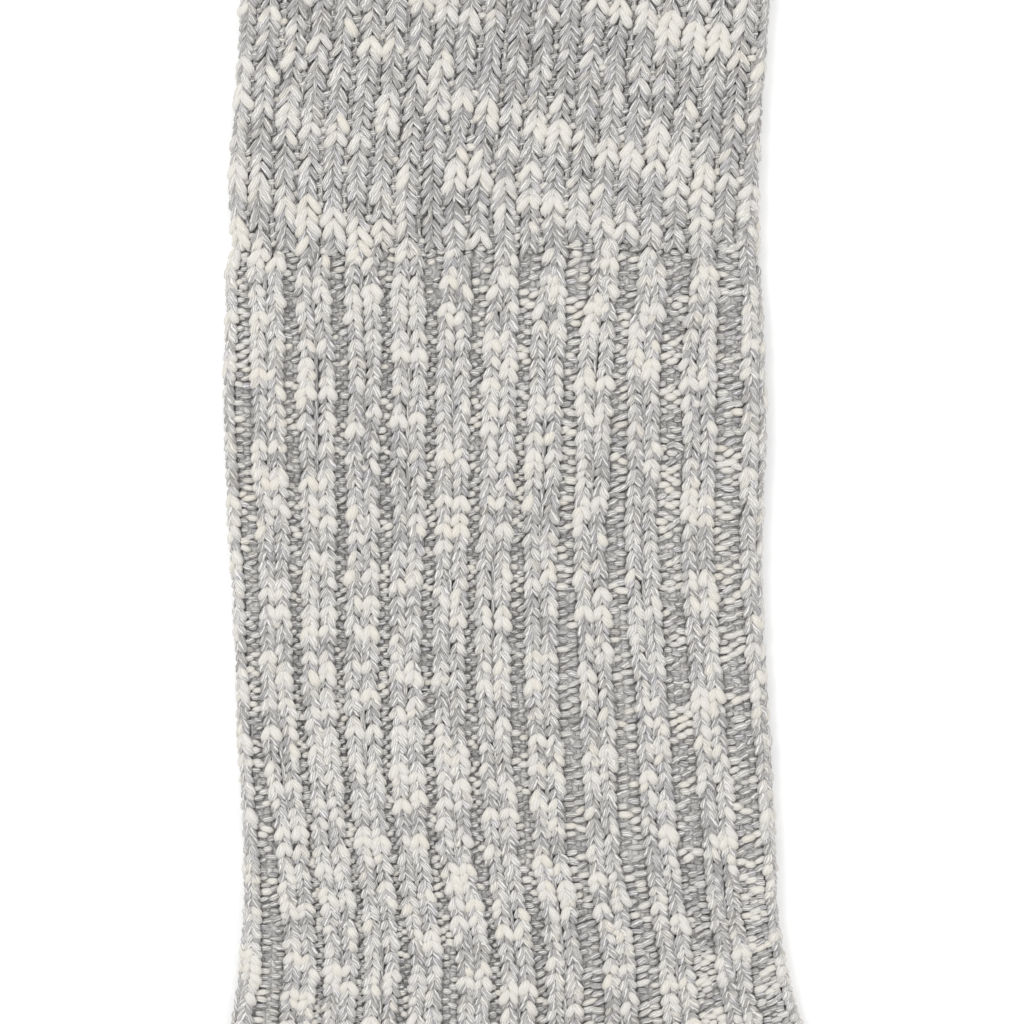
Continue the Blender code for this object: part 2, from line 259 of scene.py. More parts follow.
def heel_edge(share):
    """The outline of the heel, from the back of the leg round to the sole."""
    start = ankle_course(1.0)[0]
    above = ankle_course(1.0 - TANGENT_STEP)[0]
    start_way = unit(start - above) * HEEL_REACH
    end_way = unit(bend_course(TANGENT_STEP)[0] - bend_course(0.0)[0]) * HEEL_REACH
    return hermite(start, start_way, heel_sole(), end_way, share)


def between(places, at, points):
    """Plan points at some places of a line, whose own points lie at the places in at."""
    return np.stack([np.interp(places, at, points[:, axis]) for axis in (0, 1)], -1)


class Panel:
    """A stretch of the laid tube on one side of a line, as the two ends of each row."""

    def __init__(self, inner, outer):
        self.inner = np.array(inner)
        self.outer = np.array(outer)
        self.rows = len(self.inner) - 1

    def end_at(self, ends, rows):
        """One end of each row, carried on straight past the first and last row."""
        at = np.clip(rows, 0, self.rows)
        past = (rows - at)[..., None]
        step = np.where(past > 0, ends[-1] - ends[-2], ends[1] - ends[0])
        return between(at, np.arange(len(ends)), ends) + past * step

    def ends(self, rows):
        """Inner end, unit way outwards and length of each row."""
        inner = self.end_at(self.inner, rows)
        way = self.end_at(self.outer, rows) - inner
        length = np.linalg.norm(way, axis=-1)
        return inner, way / length[..., None], length

    def flat(self, rows):
        """How far each row runs before its edge turns."""
        return self.ends(rows)[2] - EDGE_INSET

    def reach(self, rows, out):
        """The reach of a point seen at a distance out: past EDGE_SEEN it goes on evenly."""
        flat = self.flat(rows)
        past = np.maximum(out - flat, 0.0)
        turned = np.minimum(past, EDGE_SEEN * EDGE_INSET)
        return np.minimum(out, flat) + EDGE_RADIUS * np.arcsin(turned / EDGE_INSET) + past - turned

    def edge_reach(self, rows):
        """The reach of the outermost line of the edge."""
        return self.flat(rows) + EDGE_RADIUS * math.pi / 2

    def lay(self, rows, reach, lift):
        """Points on the cloth and its normals there."""
        inner, way, length = self.ends(rows)
        flat = length - EDGE_INSET
        turn = np.clip((reach - flat) / EDGE_RADIUS, 0.0, math.pi)
        under = np.maximum(reach - flat - math.pi * EDGE_RADIUS, 0.0)
        radius = YARN_LINE + lift * (1 - EDGE_TIGHTER * np.sin(turn / 2))
        out = np.minimum(reach, flat) - under + radius * np.sin(turn)
        height = EDGE_RADIUS + radius * np.cos(turn)
        plan = inner + out[..., None] * way + PLAN_SHIFT
        points = np.concatenate((plan, height[..., None]), -1)
        normals = np.concatenate((way * np.sin(turn)[..., None], np.cos(turn)[..., None]), -1)
        return points, normals


def halves(courses):
    """The back and front panels of a run of courses."""
    courses = np.array(courses)
    return Panel(courses[:, 1], courses[:, 0]), Panel(courses[:, 1], courses[:, 2])


def run(course, start, end, rows):
    """The courses that bound some rows, from one place to another."""
    return [course(place) for place in np.linspace(start, end, rows + 1)]


def cuff_panels():
    return halves(run(leg_course, -CUFF_HEIGHT, 0, CUFF_ROWS))


def leg_panels():
    leg = run(leg_course, 0, BEND_TOP, LEG_ROWS)
    return halves(leg + run(ankle_course, 0, 1, ANKLE_ROWS)[1:])


def foot_panels():
    bend = run(bend_course, 0, 1, BEND_ROWS)
    return halves(bend + run(foot_frame, 0, FOOT_STRAIGHT, FOOT_ROWS)[1:])


def evenly(points, count):
    """Some count of points, evenly along a line given by many points."""
    points = np.array(points)
    steps = np.linalg.norm(np.diff(points, axis=0), axis=1)
    along = np.concatenate(((0.0,), np.cumsum(steps)))
    return between(np.linspace(0, along[-1], count), along, points)


def pocket_panel(start, outline, gore, rows):
    """A heel or toe: rows from a gore line, out and back, to the outline."""
    outer = evenly(outline, rows + 1)
    tip = outer[rows // 2]
    way = unit(tip - start)
    turn = np.linspace(-1, 1, rows + 1)
    aside = np.sign(turn)[:, None] * np.array((-way[1], way[0]))
    side = 1 if np.dot(outer[-1] - start, aside[-1]) > 0 else -1
    inner = start + gore * (1 - np.abs(turn))[:, None] * (tip - start)
    return Panel(inner + side * GORE_SLIT * aside, outer)


def heel_panel():
    outline = run(heel_edge, 0, 1, OUTLINE_STEPS - 1)
    return pocket_panel(ANKLE_MIDDLE, outline, HEEL_GORE, HEEL_ROWS)


def toe_panel():
    alongs = TOE_LENGTH * np.sin(np.linspace(0, math.pi / 2, OUTLINE_STEPS))
    outline = [toe_course(along)[0] for along in alongs]
    outline += [toe_course(along)[2] for along in alongs[::-1]]
    return pocket_panel(foot_frame(FOOT_STRAIGHT)[1], outline, TOE_GORE, TOE_ROWS)


def smooth_step(share):
    share = np.clip(share, 0.0, 1.0)
    return share * share * (3 - 2 * share)


def cuff_wale_share(wale, downs):
    """Where a knit wale of the cuff lies, as a share of the width."""
    return table_at(CUFF_RIBS, 1, downs) + wale * table_at(CUFF_RIBS, 2, downs)


def furrow_share(furrow, downs):
    """Where a furrow of the leg lies, as a share of the width."""
    return table_at(LEG_FURROWS, 1 + furrow, downs)


def pair_share(pair, downs):
    """Where the middle of a pair of knit wales lies, as a share of the width."""
    last = len(LEG_FURROWS[0]) - 2
    if pair == 0:
        half = table_at(BACK_FURROW_HALVES, 1, downs)
        return furrow_share(0, downs) - half - WALE_SHARE
    if pair > last:
        return furrow_share(last, downs) + FRONT_FURROW_HALF + WALE_SHARE
    return (furrow_share(pair - 1, downs) + furrow_share(pair, downs)) / 2


def leg_wale_share(pair, right, downs):
    """Where a knit wale of the leg lies: each left wale goes on from one of the cuff."""
    middle = pair_share(pair, downs)
    if right:
        return middle + WALE_SHARE / 2
    settled = smooth_step(downs / (FADE_ROWS * LEG_PITCH))
    above = cuff_wale_share(2 * pair - 1, downs)
    return above + settled * (middle - WALE_SHARE / 2 - above)


def soften(table, spreads):
    """Blurs a table of random numbers along its axes, and keeps its strength."""
    for axis, spread in enumerate(spreads):
        reach = int(3 * spread)
        kernel = np.exp(-0.5 * (np.arange(-reach, reach + 1) / spread) ** 2)
        kernel /= np.sqrt((kernel**2).sum())
        table = np.apply_along_axis(np.convolve, axis, table, kernel, mode="same")
    return table


class Field:
    """How thick and how light the yarn is, by row and needle."""

    # Rows and needles round the knitting, places to a needle, and a slub's soft edge in needles.
    MARGIN = 4
    FINE = 4
    EDGE = 0.45
    # Half lengths of slubs in needles, and their strengths, each with its odds.
    HALF_LENGTHS = (0.12, 0.35, 0.7, 1.3)
    LENGTH_ODDS = (0.36, 0.32, 0.23, 0.09)
    STRENGTHS = (0.35, 0.55, 0.8, 1.0)
    STRENGTH_ODDS = (0.26, 0.27, 0.22, 0.25)
    UNEVEN = 0.05
    # A slub in a slanting run: how far it strays in needles, and its length and strength.
    RUN_STRAY = 0.6
    RUN_LENGTHS = (0.4, 1.2)
    RUN_STRENGTHS = (0.6, 1.0)
    # How far light and dark carry on over rows and needles, in patches and along a row.
    TONE_SPREADS = ((1.6, 8.0), (0.3, 3.0))
    TONE_STRENGTH = 0.7

    def __init__(self, rows, needles, seed, gaps=(0.4, 3.2), runs=()):
        random = np.random.default_rng(seed)
        places = np.arange((needles + 2 * self.MARGIN) * self.FINE) / self.FINE - self.MARGIN
        shape = (rows + 2 * self.MARGIN, len(places))
        self.slub = np.zeros(shape)
        for row in range(shape[0]):
            place = -self.MARGIN - random.uniform(0, gaps[1])
            while place < needles + self.MARGIN:
                half = random.choice(self.HALF_LENGTHS, p=self.LENGTH_ODDS)
                strength = random.choice(self.STRENGTHS, p=self.STRENGTH_ODDS)
                place += half + random.uniform(*gaps)
                self.thicken(row, places - place, half, strength)
                place += half
        for row, needle, count, shift, half in runs:
            for step in range(count):
                away = places - needle - shift * step - random.normal(0, self.RUN_STRAY)
                half_now = half * random.uniform(*self.RUN_LENGTHS)
                strength = random.uniform(*self.RUN_STRENGTHS)
                self.thicken(row + step + self.MARGIN, away, half_now, strength)
        self.slub = np.clip(self.slub + self.UNEVEN * random.normal(0, 1, shape), 0, 1)
        tones = [soften(random.normal(0, 1, shape), spreads) for spreads in self.TONE_SPREADS]
        self.tone = self.TONE_STRENGTH * sum(tones)

    def thicken(self, row, away, half, strength):
        """Lays one slub along a row, by how far the needles lie from its middle."""
        if row < len(self.slub):
            bump = strength * smooth_step((half + self.EDGE - np.abs(away)) / self.EDGE)
            self.slub[row] = np.maximum(self.slub[row], bump)

    def at(self, rows, needle):
        """Slub and tone at some rows and needles."""
        row = np.clip(np.round(rows) + self.MARGIN, 0, len(self.slub) - 1)
        column = np.clip((needle + self.MARGIN) * self.FINE, 0, self.slub.shape[1] - 1)
        place = (row.astype(int), column.astype(int))
        return self.slub[place], self.tone[place]


# How many sides a yarn has, and where round it they lie: closer together on top.
FINE_SIDES = 5
COARSE_SIDES = 4
SIDE_ANGLES = {
    FINE_SIDES: np.radians((-28.0, 30.0, 90.0, 150.0, 208.0)),
    COARSE_SIDES: np.radians((-20.0, 55.0, 125.0, 200.0)),
}
TIP_LENGTHS = np.array(((-0.7,), (0.7,)))


def sweep(centres, normals, radii, sides):
    """Points of closed tubes along rows of centres: ring by ring, then the two tips."""
    ways = np.gradient(centres, axis=1)
    ways /= np.linalg.norm(ways, axis=-1, keepdims=True)
    across = np.cross(ways, normals)
    across /= np.linalg.norm(across, axis=-1, keepdims=True)
    ups = np.cross(across, ways)
    angles = SIDE_ANGLES[sides][:, None]
    around = np.cos(angles) * across[:, :, None] + np.sin(angles) * ups[:, :, None]
    rings = centres[:, :, None] + radii[:, :, None, None] * around
    ends = (0, -1)
    tips = centres[:, ends] + ways[:, ends] * radii[:, ends, None] * TIP_LENGTHS
    return np.concatenate((rings.reshape(len(rings), rings.shape[1] * sides, 3), tips), 1)


def tube_faces(rings, sides):
    """Triangles of one closed tube, and each corner's (ring, side), tips at halves."""
    places = []
    for side in range(sides):
        for ring in range(rings - 1):
            far = (ring + 1, side + 1)
            places += [(ring, side), (ring, side + 1), far]
            places += [(ring, side), far, (ring + 1, side)]
        places += [(0, side + 0.5), (0, side + 1), (0, side)]
        places += [(rings - 1, side + 0.5), (rings - 1, side), (rings - 1, side + 1)]
    places = np.array(places)
    ring, side = places.T
    tip = rings * sides + (ring > 0)
    corners = np.where(side % 1 > 0, tip, ring * sides + side % sides)
    return corners.astype(int).reshape(-1, 3), places


def add_object(name, data):
    item = bpy.data.objects.new(name, data)
    bpy.context.scene.collection.objects.link(item)
    return item


def new_piece(name, points, faces, material):
    data = bpy.data.meshes.new(name)
    data.from_pydata(points, [], faces)
    data.shade_smooth()
    data.materials.append(material)
    return add_object(name, data)


def add_map(piece, name, places):
    layer = piece.data.uv_layers.new(name=name)
    layer.uv.foreach_set("vector", np.asarray(places, dtype=np.float32).ravel())


class Yarn:
    """Collects lengths of yarn, and makes one mesh of them."""

    MARKS = ("slub", "tone", "phase")

    def __init__(self, sides=FINE_SIDES):
        self.sides = sides
        self.parts = []

    def add(self, centres, normals, radii, slub, tone, phase):
        """Lengths of yarn: centres (n, ring, 3), slub and tone (n, ring), phase (n,)."""
        height = np.maximum(centres[..., 2], radii + FLOOR_CLEAR)
        centres = np.concatenate((centres[..., :2], height[..., None]), -1)
        phases = np.broadcast_to(phase[:, None], slub.shape)
        self.parts.append((centres, normals, radii, np.stack((slub, tone, phases), -1)))

    def build(self, name, material):
        parts = []
        start = 0
        for centres, normals, radii, marks in self.parts:
            count, rings = centres.shape[:2]
            points = sweep(centres, normals, radii, self.sides)
            shape, places = tube_faces(rings, self.sides)
            starts = start + points.shape[1] * np.arange(count)
            start += count * points.shape[1]
            steps = np.linalg.norm(np.diff(centres, axis=1), axis=-1)
            along = np.concatenate((np.zeros((count, 1)), np.cumsum(steps, 1)), 1) / MM
            around = np.broadcast_to(places[:, 1] / self.sides, (count, len(places)))
            corners = np.stack((along[:, places[:, 0].astype(int)], around), -1)
            marks = np.concatenate((np.repeat(marks, self.sides, axis=1), marks[:, (0, -1)]), 1)
            parts.append((points, shape + starts[:, None, None], corners, marks))
        points, faces, corners, marks = (
            np.concatenate([part.reshape(-1, part.shape[-1]) for part in kind])
            for kind in zip(*parts)
        )
        piece = new_piece(name, points, faces, material)
        add_map(piece, "yarn", corners)
        for index, key in enumerate(self.MARKS):
            mark = piece.data.attributes.new(key, "FLOAT", "POINT")
            mark.data.foreach_set("value", marks[:, index].astype(np.float32))
        return piece


# The path of one leg of a knit stitch, from its apex, tucked under the row above, to its foot.
LEG_PATH = (
    # share along, sideways share, down share, lift in mm, radius share
    (0.00, 0.02, 0.00, -0.20, 0.66),
    (0.24, 0.20, 0.24, 0.00, 0.98),
    (0.52, 0.52, 0.52, 0.12, 1.12),
    (0.80, 0.86, 0.80, 0.06, 1.10),
    (1.00, 1.02, 1.02, -0.36, 0.74),
)
COARSE_LEG_PATH = (
    (0.00, 0.02, 0.00, -0.20, 0.68),
    (0.33, 0.30, 0.33, 0.05, 1.04),
    (0.74, 0.80, 0.74, 0.09, 1.12),
    (1.00, 1.02, 1.02, -0.36, 0.74),
)
# Sideways start, sideways run and down run of a stitch's left and right leg, in mm.
CUFF_STITCH = ((-0.12, -1.21, 2.08), (0.12, 1.24, 2.00))
LEG_STITCH = ((-0.11, -0.76, 1.68), (0.12, 0.82, 1.62))
PLAIN_STITCH = ((-0.12, -0.92, 1.64), (0.12, 0.92, 1.64))
APEX_UP = 0.45 * MM
APEX_NEEDLE = 0.5
FOOT_NEEDLE_INWARDS = 0.4
# How far one leg differs from the next: run, drop, start in mm, row in mm, radius and tone.
LEG_SPREADS = (0.11, 0.10, 0.06, 0.08, 0.11, 0.5)
LIFT_WITH_START = 7 / 6
# How far the two legs of a stitch differ together: run, row in mm and place aside in mm.
STITCH_SPREADS = (0.05, 0.10, 0.05)
WANDER = 0.13 * MM
WANDER_ROWS = 2.5
WANDER_FEWEST = 24
SLUB_LONGER = 0.34
SLUB_RISE = 0.18 * MM
SLUB_WIDER = 0.24
CUFF_KNIT_PLUMP = 0.92
# The cuff's knit yarn is darkened by a painted shade, standing in for the shade in its crevices.
CUFF_KNIT_PAINTED_SHADE = 1.0
LEG_KNIT_DARKER = 0.8

# The strand behind a wale, and how far it varies: lift and place aside in mm, radius, tone.
CORE_RADIUS = 0.50 * MM
CORE_LIFT = 0.10 * MM
CORE_STEP = 2.5
CORE_SPREADS = (0.06, 0.05, 0.08, 1.2)
CORE_SLUB = 0.3
CUFF_CORE_RAISED = -0.45 * MM
LEG_CORE_RAISED = -0.02 * MM

BUMP_PATH = (
    # sideways in half lengths, lift in mm, radius share
    (-1.00, -0.42, 0.50),
    (-0.42, -0.02, 1.00),
    (0.42, -0.02, 1.00),
    (1.00, -0.42, 0.50),
)
# How far one purl bump differs from the next: length, place aside in mm, slope, row in mm, radius.
BUMP_SPREADS = (0.18, 0.16, 0.20, 0.14, 0.14)
BUMP_LIFT_WITH_LENGTH = 1 / 3
BUMP_TONE_WITH_RADIUS = 0.6 / 0.14
BUMP_SLUB_LONGER = 0.15
BUMP_SLUB_RISE = 0.10 * MM
BUMP_SLUB_SWELL = 0.12 * MM
CUFF_PURL_RAISED = 0.05 * MM
CUFF_PURL_PLUMP = 1.25

# Where in its row each kind of stitch lies, and how far a core stops short of the last row.
KNIT_ROW = 0.2
CUFF_PURL_ROW = 0.7
LEG_PURL_ROWS = (0.75, 0.25)
PAIR_CORE_START = 0.5
CORE_SHORT = 0.3
# Loose bumps at the seam: rows apart, tilt, half length and rise, and rows past the gap's ends.
FILL_STEP = 0.6
FILL_TILT = 0.35
CUFF_FILL = (0.70 * MM, 0.25 * MM)
LEG_FILL = (0.75 * MM, 0.20 * MM)
CUFF_FILL_ROWS = (-0.2, 0.9)
LEG_FILL_ROWS = (-0.6, 0.3)


# A line down the cloth that a wale or a column of purl bumps follows.
Line = namedtuple("Line", "panel sign reaches side shown", defaults=("", None))


class Knitter:
    """Lays the stitches of one stretch of knitting."""

    SIDES = {"knit": FINE_SIDES, "purl": COARSE_SIDES, "core": COARSE_SIDES}
    SEEDS = {"cuff": 11, "leg": 21, "foot": 31, "foot_sole": 33, "heel": 41, "toe": 51}

    def __init__(self, name, panels, pitch, needles, *slubs, down_of=None, undivided=()):
        self.name = name
        self.panels = panels
        self.pitch = pitch
        self.down_of = down_of
        self.undivided = undivided
        self.random = np.random.default_rng(self.SEEDS[name])
        self.field = Field(panels[0].rows, needles, self.SEEDS[name] + 1, *slubs)
        self.yarns = {}

    def line(self, middle, share_of, *which, shown=None):
        """The line at some share of the width, on the side where its middle lies."""
        front = middle >= 0.5
        panel = self.panels[front]
        sign = 1 if front else -1

        def reaches(rows):
            share = share_of(*which, self.down_of(rows))
            return panel.reach(rows, sign * (2 * share - 1) * panel.ends(rows)[2])

        return Line(panel, sign, reaches, "_front" if front else "_back", shown)

    def lay(self, kind, line, rows, aside, lift, radii, slub, tone):
        """Adds lengths of yarn at a distance aside from a line."""
        shown = line.shown(rows) if line.shown else rows
        points, normals = line.panel.lay(shown, line.reaches(rows) + aside, lift)
        side = "" if kind in self.undivided else line.side
        yarn = self.yarns.setdefault((kind, side), Yarn(self.SIDES[kind]))
        yarn.add(points, normals, radii, slub, tone, self.random.uniform(0, 1, len(points)))

    def spread(self, spreads, count):
        """A random number for each stitch, for each of the spreads."""
        return (self.random.normal(0, 1, (count, len(spreads))) * spreads).T[:, :, None]

    def knit(self, line, rows, needle, stitch, path=LEG_PATH, plump=1.0, darker=0.0):
        """The two legs of each stitch of one knit wale."""
        along, sideways_share, down_share, lift, radius_share = np.array(path).T
        count = len(rows)
        here = rows[:, None] + np.zeros(len(along))
        wander = self.random.normal(0, 1, (max(count, WANDER_FEWEST), 1))
        wander = WANDER * soften(wander, (WANDER_ROWS,))[:count]
        both_run, both_row, both_aside = self.spread(STITCH_SPREADS, count)
        for side, (start, run, drop) in zip((-1, 1), stitch):
            run_by, drop_by, start_by, row_by, radius_by, tone_by = self.spread(LEG_SPREADS, count)
            at_needle = needle + side * (APEX_NEEDLE - FOOT_NEEDLE_INWARDS * along)
            slub, tone = self.field.at(here, at_needle + np.zeros((count, 1)))
            thick = slub.mean(1, keepdims=True)
            run_now = run * (1 + run_by + both_run + SLUB_WIDER * thick) * MM
            drop_now = drop * (1 + drop_by + SLUB_LONGER * thick) * MM
            sideways = (start + start_by) * MM + run_now * sideways_share
            down = drop_now * down_share - APEX_UP + (row_by + both_row) * MM
            radii = plump * YARN_RADIUS * (1 + radius_by)
            radii = (radii + (SLUB_RADIUS - plump * YARN_RADIUS) * slub) * radius_share
            lifts = KNIT_LIFT + (lift + LIFT_WITH_START * start_by) * MM + SLUB_RISE * slub
            aside = line.sign * sideways + wander + both_aside * MM
            tone = tone + tone_by - darker
            self.lay("knit", line, here + down / self.pitch, aside, lifts, radii, slub, tone)

    def core(self, line, first, last, raised=0.0):
        """The hidden backs of a wale's stitches, as one strand behind them."""
        rows = np.linspace(first, last, max(int((last - first) / CORE_STEP), 2) + 1)[None]
        draws = [spread * self.random.normal(0, 1, rows.shape) for spread in CORE_SPREADS]
        lift_by, aside_by, radius_by, tone = draws
        slub = CORE_SLUB * self.random.uniform(0, 1, rows.shape)
        lifts = CORE_LIFT + raised + lift_by * MM
        radii = CORE_RADIUS * (1 + radius_by)
        self.lay("core", line, rows, aside_by * MM, lifts, radii, slub, tone)

    def purl(self, line, rows, needle, half_length, tilt, raised=0.0, plump=1.0):
        """One column of purl bumps, each a short length of yarn across the furrow."""
        across, lift, radius_share = np.array(BUMP_PATH).T
        count = len(rows)
        here = rows[:, None] + np.zeros(len(across))
        slub, tone = self.field.at(here, needle + np.zeros(here.shape))
        long_by, aside_by, slope_by, row_by, radius_by = self.spread(BUMP_SPREADS, count)
        half = half_length * (1 + long_by + BUMP_SLUB_LONGER * slub.mean(1, keepdims=True))
        sideways = half * across + aside_by * MM
        down = row_by * MM - np.tan(tilt + slope_by) * sideways * line.sign
        radii = (BUMP_RADIUS * (1 + radius_by) + BUMP_SLUB_SWELL * slub) * radius_share * plump
        lifts = PURL_LIFT + raised + (lift + BUMP_LIFT_WITH_LENGTH * long_by) * MM
        lifts = lifts + BUMP_SLUB_RISE * slub
        tone = tone + BUMP_TONE_WITH_RADIUS * radius_by
        self.lay("purl", line, here + down / self.pitch, sideways, lifts, radii, slub, tone)

    def fill(self, line, first, last, past, needle, half_length, raised):
        """Loose purl bumps in the gap that a wale leaves at the seam."""
        rows = np.arange(first + past[0], last + past[1], FILL_STEP)
        self.purl(line, rows, needle, half_length, self.random.normal(0, FILL_TILT), raised)

    def build(self, material):
        """The pieces of this stretch, by kind of stitch and side."""
        keys = [(kind, side) for kind in self.SIDES for side in ("", "_back", "_front")]
        return [self.yarns[key].build(f"{self.name}_{''.join(key)}", material)
                for key in keys if key in self.yarns]


CUFF_NEEDLES = 2 * CUFF_WALES + 4
CUFF_SLUB_GAPS = (1.6, 8.0)
CUFF_RUNS = (
    # first row, first needle, rows, needles along a row, half length: slanting runs of slubs
    (21, 2, 5, 2.0, 2.4),
    (18, 17, 9, 2.3, 1.8),
    (29, 1, 8, 1.8, 2.2),
    (27, 20, 8, 1.9, 2.2),
    (5, 9, 6, 2.0, 1.8),
    (8, 31, 7, 2.1, 2.0),
    (24, 36, 5, 1.8, 1.4),
)
CUFF_PURL_HALF = 0.85 * MM
CUFF_PURL_SLOPE = math.radians(12)


def build_cuff(material):
    """A 1x1 rib: single knit wales with purl bumps deep in the furrows between them."""
    panels = cuff_panels()
    knitter = Knitter("cuff", panels, CUFF_PITCH, CUFF_NEEDLES, CUFF_SLUB_GAPS, CUFF_RUNS,
                      down_of=lambda rows: rows * CUFF_PITCH - CUFF_HEIGHT, undivided=("purl",))

    def line_at(place):
        """A wale, or at a half the furrow after it, whose courses slope within the cuff."""
        middle = float(cuff_wale_share(place, knitter.down_of(CUFF_ROWS / 2)))

        def shown(rows):
            settled = smooth_step(rows / FADE_ROWS) * smooth_step((CUFF_ROWS - rows) / FADE_ROWS)
            return rows + CUFF_TILT * (middle - 0.5) * settled

        return knitter.line(middle, cuff_wale_share, place, shown=shown)

    for wale in range(-1, CUFF_WALES + 1):
        needle = 2 * (wale + 1)
        line = line_at(wale)
        last = CUFF_ROWS if wale % 2 else CUFF_ROWS - int(knitter.random.integers(0, 2))
        knitter.fill(line, last, CUFF_ROWS, CUFF_FILL_ROWS, needle, *CUFF_FILL)
        knitter.knit(line, np.arange(last) + KNIT_ROW, needle, CUFF_STITCH,
                     plump=CUFF_KNIT_PLUMP, darker=CUFF_KNIT_PAINTED_SHADE)
        knitter.core(line, KNIT_ROW, last - CORE_SHORT)
        line = line_at(wale + 0.5)
        knitter.core(line, KNIT_ROW, CUFF_ROWS - CORE_SHORT, CUFF_CORE_RAISED)
        knitter.purl(line, np.arange(CUFF_ROWS) + CUFF_PURL_ROW, needle + 1, CUFF_PURL_HALF,
                     CUFF_PURL_SLOPE, CUFF_PURL_RAISED, CUFF_PURL_PLUMP)
    return knitter.build(material), panels


# The columns of purl bumps in a furrow of the leg, from its width at FURROW_DOWN.
FURROW_DOWN = 50 * MM
COLUMN_PITCH = 1.45 * MM
COLUMN_ROOM = 0.4 * MM
COLUMN_COUNTS = (2, 4)
BUMP_ROOM = 0.8 * MM
BUMP_HALF_SHARE = 0.62
BUMP_HALVES = (0.72 * MM, 1.05 * MM)
COLUMN_OVERLAP = 0.006
# Slope in degrees and fullness of the bumps: at the back edge, and how much more in front.
FURROW_SLOPES = (3, 5)
FURROW_PLUMPS = (1.06, 0.18)


def furrow_columns(furrow):
    """How many columns of purl bumps a furrow of the leg holds, and their half length."""
    width = float(np.diff(leg_edges(FURROW_DOWN))[0])
    share = pair_share(furrow + 1, FURROW_DOWN) - pair_share(furrow, FURROW_DOWN)
    gap = (share - 2 * WALE_SHARE) * width
    count = int(np.clip(round((gap + COLUMN_ROOM) / COLUMN_PITCH), *COLUMN_COUNTS))
    return count, float(np.clip((gap + BUMP_ROOM) / count * BUMP_HALF_SHARE, *BUMP_HALVES))


def between_share(pair, downs):
    """Where the strand between the two wales of a pair lies, as a share of the width."""
    return (leg_wale_share(pair, 0, downs) + leg_wale_share(pair, 1, downs)) / 2


def column_share(furrow, place, downs):
    """Where a column of purl bumps lies, at a place from -0.5 to 0.5 over its furrow."""
    left = leg_wale_share(furrow, 1, downs) + WALE_SHARE / 2
    right = leg_wale_share(furrow + 1, 0, downs) - WALE_SHARE / 2
    return (left + right) / 2 + (right - left + COLUMN_OVERLAP) * place


# The needles in one repeat of a 2x2 rib, and the one in the middle of its furrow.
REPEAT = 4
FURROW_NEEDLE = 2.5


def build_rib(name, panels, pitch, material, down_of, from_share=None):
    """A 2x2 rib: pairs of knit wales, and furrows filled with purl bumps.

    Without a share to start from, it goes all round and its wales start unevenly, at the seam.
    """
    ragged = from_share is None
    from_share = -1.0 if ragged else from_share
    pairs = len(LEG_FURROWS[0])
    total = panels[0].rows
    knitter = Knitter(name, panels, pitch, REPEAT * pairs, down_of=down_of)
    halfway = down_of(total / 2)
    for pair in range(pairs):
        middle = float(pair_share(pair, halfway))
        for right in (0, 1):
            wale_middle = middle + (right - 0.5) * WALE_SHARE
            if wale_middle < from_share:
                continue
            line = knitter.line(wale_middle, leg_wale_share, pair, right)
            needle = REPEAT * pair + right
            loose = right and ragged
            start = int(knitter.random.integers(-1, 2)) if loose else 0
            knitter.core(line, start, total - CORE_SHORT)
            if loose:
                knitter.fill(line, 0, start, LEG_FILL_ROWS, needle, *LEG_FILL)
            knitter.knit(line, np.arange(start, total) + KNIT_ROW, needle, LEG_STITCH,
                         darker=LEG_KNIT_DARKER)
        if middle - WALE_SHARE / 2 >= from_share:
            knitter.core(knitter.line(middle, between_share, pair), PAIR_CORE_START,
                         total - CORE_SHORT, LEG_CORE_RAISED)
    for furrow in range(pairs - 1):
        count, half = furrow_columns(furrow)
        middle = float(furrow_share(furrow, halfway))
        if middle < from_share:
            continue
        slope = math.radians(FURROW_SLOPES[0] + FURROW_SLOPES[1] * middle)
        plump = FURROW_PLUMPS[0] + FURROW_PLUMPS[1] * middle
        for column in range(count):
            place = (column + 0.5) / count - 0.5
            rows = np.arange(-1 if ragged else 0, total) + LEG_PURL_ROWS[column % 2]
            knitter.purl(knitter.line(middle, column_share, furrow, place), rows,
                         REPEAT * furrow + FURROW_NEEDLE + place, half, slope, plump=plump)
    return knitter.build(material)


def build_leg(material):
    panels = leg_panels()
    return build_rib("leg", panels, LEG_PITCH, material, lambda rows: rows * LEG_PITCH), panels


# Plain knitting: the wales that lie past the edge, and the narrowest strip that takes a wale.
WALES_UNDER = 2
LEAST_WALE = 0.1


def plain_wales(name, panel, wales, pitch, material):
    """Plain knitting, whose wales run at even distances from the outer edge."""
    knitter = Knitter(name, [panel], pitch, 2 * PLAIN_WALES)
    wale_pitch = SOLE_WIDTH / PLAIN_WALES
    for wale in range(-WALES_UNDER, wales):

        def reaches(rows, wale=wale):
            return panel.edge_reach(rows) - (wale + 0.5) * wale_pitch

        rows = np.arange(panel.rows) + KNIT_ROW
        rows = rows[reaches(rows + 0.5) > LEAST_WALE * wale_pitch]
        if len(rows):
            line = Line(panel, -1, reaches)
            knitter.knit(line, rows, 2 * (wale + WALES_UNDER), PLAIN_STITCH, COARSE_LEG_PATH)
            knitter.core(line, rows[0], rows[-1])
    return knitter.build(material)


def build_foot(material):
    """The rib goes on over the instep; the sole is plain."""
    panels = foot_panels()
    pitch = FOOT_STRAIGHT / FOOT_ROWS
    pieces = build_rib("foot", panels, pitch, material, lambda rows: HEEL_BACK_DOWN + 0 * rows,
                       from_share=INSTEP_SHARE)
    return pieces + plain_wales("foot_sole", panels[0], PLAIN_WALES, pitch, material), panels


def build_pocket(name, panel, material):
    """A plain heel or toe, whose wales end at the gore line."""
    pitch = float(np.linalg.norm(np.diff(panel.outer, axis=0), axis=1).mean())
    return plain_wales(name, panel, PLAIN_WALES + WALES_UNDER, pitch, material)


